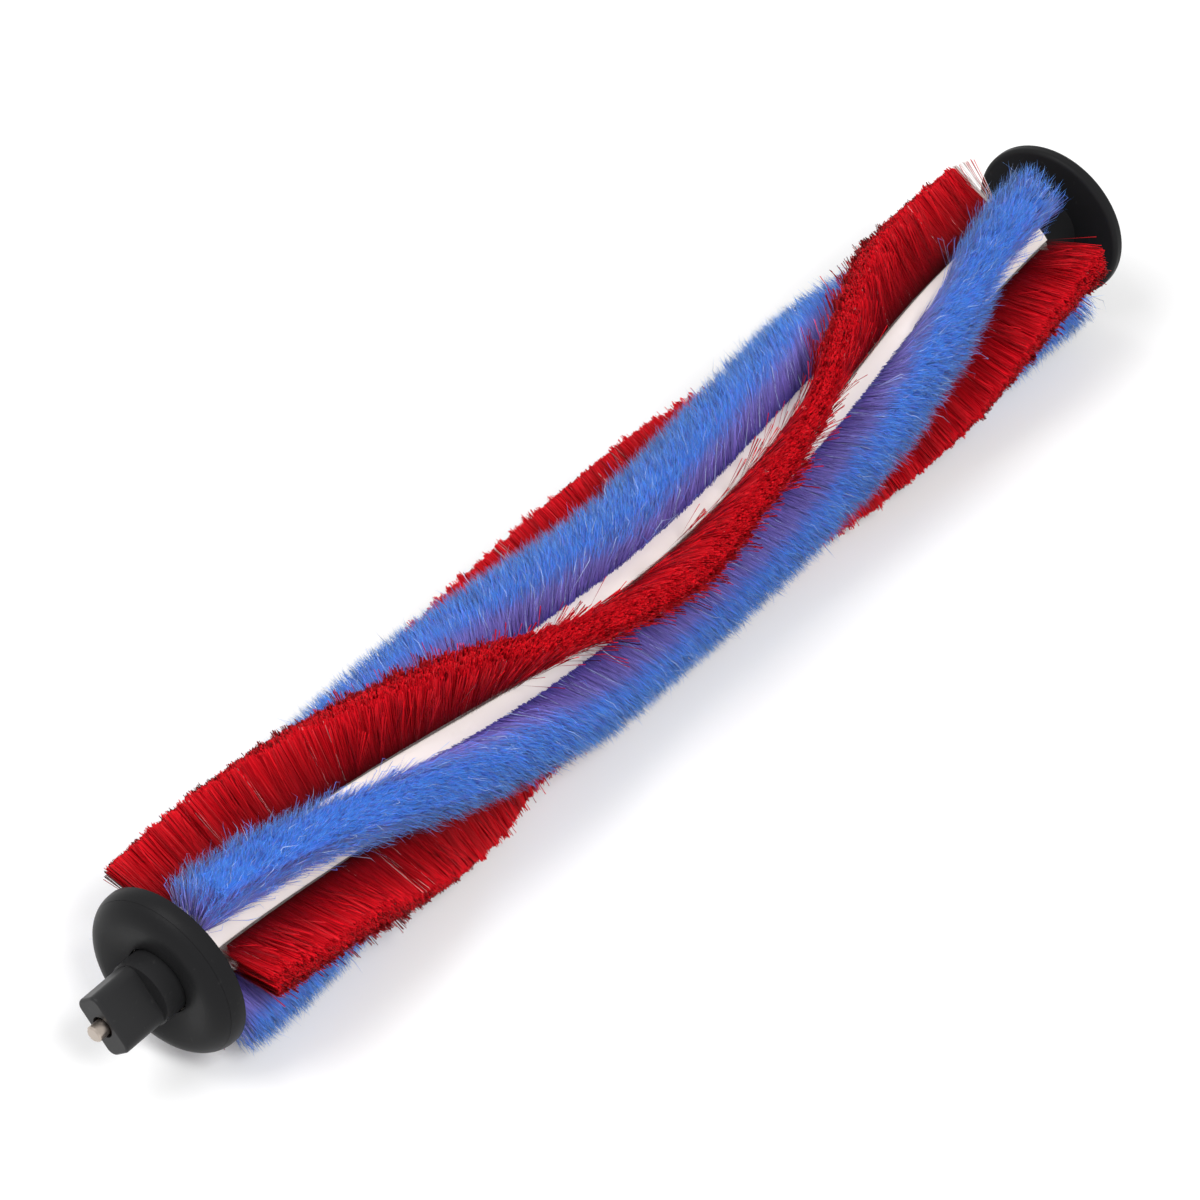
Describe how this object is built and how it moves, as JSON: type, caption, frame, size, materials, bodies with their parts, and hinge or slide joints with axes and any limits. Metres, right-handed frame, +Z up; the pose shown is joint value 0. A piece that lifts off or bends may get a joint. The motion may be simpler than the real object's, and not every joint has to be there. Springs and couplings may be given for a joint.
{
  "type": "vacuum roller brush",
  "caption": "Cylindrical vacuum cleaner roller with wave-shaped red bristle and blue plush strips on a white core, domed bearing end with flat-sided boss, and disc drive end.",
  "frame": {"origin": "on the surface that the roller rests on, under the middle of its overall length and its axis", "axes": "+X along the roller's axis from the bearing end to the drive end, +Z up"},
  "size_m": [0.264, 0.0384, 0.0377],
  "materials": {
    "white_core": "satin moulded ABS",
    "steel": "ground steel",
    "black_plastic": "satin moulded",
    "black_boss": "matt moulded",
    "washer_nylon": "natural nylon",
    "bronze": "sintered bronze",
    "carrier": "extruded",
    "red_bristle": "crimped nylon bristle",
    "blue_plush": "cut nylon plush"
  },
  "bodies": {
    "roller": {"roller_core": "white_core", "steel_shaft": "steel", "bearing_flange": "black_plastic", "dome_cover": "black_plastic", "inner_thrust_washer": "washer_nylon", "drive_flange": "black_plastic", "red_carrier_1": "carrier", "red_bristles_1": "red_bristle", "plush_carrier_1": "carrier", "blue_plush_1": "blue_plush", "red_carrier_2": "carrier", "red_bristles_2": "red_bristle", "plush_carrier_2": "carrier", "blue_plush_2": "blue_plush", "red_carrier_3": "carrier", "red_bristles_3": "red_bristle", "plush_carrier_3": "carrier", "blue_plush_3": "blue_plush"},
    "bearing": {"bearing_boss": "black_boss", "bronze_bush": "bronze", "outer_thrust_washer": "washer_nylon"}
  },
  "joints": [
    {"name": "roller_spin", "type": "hinge", "parent": "roller", "child": "bearing", "pos_m": [-0.12, 0, 0.0185], "axis": [1, 0, 0], "continuous": true}
  ]
}
